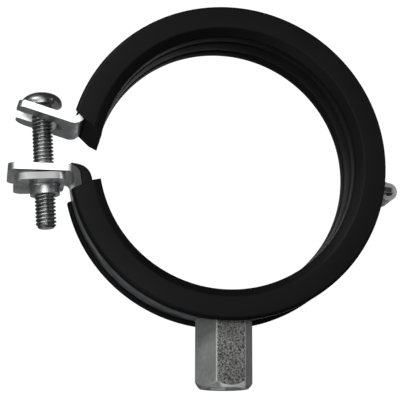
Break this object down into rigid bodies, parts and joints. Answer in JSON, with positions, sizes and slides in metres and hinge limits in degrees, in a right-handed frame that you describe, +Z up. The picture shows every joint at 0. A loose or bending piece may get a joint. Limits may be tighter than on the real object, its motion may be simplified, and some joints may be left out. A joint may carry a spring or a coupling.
{
  "type": "rubber lined pipe clamp",
  "caption": "Hinged two-half pipe clamp with a ribbed rubber lining, a closing screw through slotted lugs and a tapped hexagon boss underneath.",
  "frame": {"origin": "centre of the ring on the pipe's axis, half way along the clamp's width", "axes": "+X across the pipe towards the hinge, +Y along the pipe, +Z up, away from the boss"},
  "size_m": [0.1148, 0.0228, 0.1116],
  "materials": {
    "zinc_strip": "bright zinc plate, light drawing marks",
    "rubber": "soft black rubber with a low sheen",
    "zinc_pressing": "bright zinc plate",
    "zinc_screw": "bright zinc plate on a rolled thread",
    "zinc_boss": "zinc plate over drawn hexagon bar, mottled on its faces"
  },
  "bodies": {
    "lower_half": {"lower_strip": "zinc_strip", "lower_liner": "rubber", "nut_plate": "zinc_pressing", "boss": "zinc_boss"},
    "upper_half": {"upper_strip": "zinc_strip", "upper_liner": "rubber"},
    "closing_screw": {"closing_screw": "zinc_screw"}
  },
  "joints": [
    {"name": "half_hinge", "type": "hinge", "parent": "lower_half", "child": "upper_half", "pos_m": [0.0488, 0, -0.0065], "axis": [0, 1, 0], "range_deg": [-6.5, 6.5]},
    {"name": "screw_travel", "type": "slide", "parent": "lower_half", "child": "closing_screw", "axis": [-0.0671, 0, 0.9977], "range_m": [-0.0131, 0.0131]}
  ],
  "couplings": [
    {"joint": "screw_travel", "follows": "half_hinge", "m_per_rad": 0.114}
  ]
}
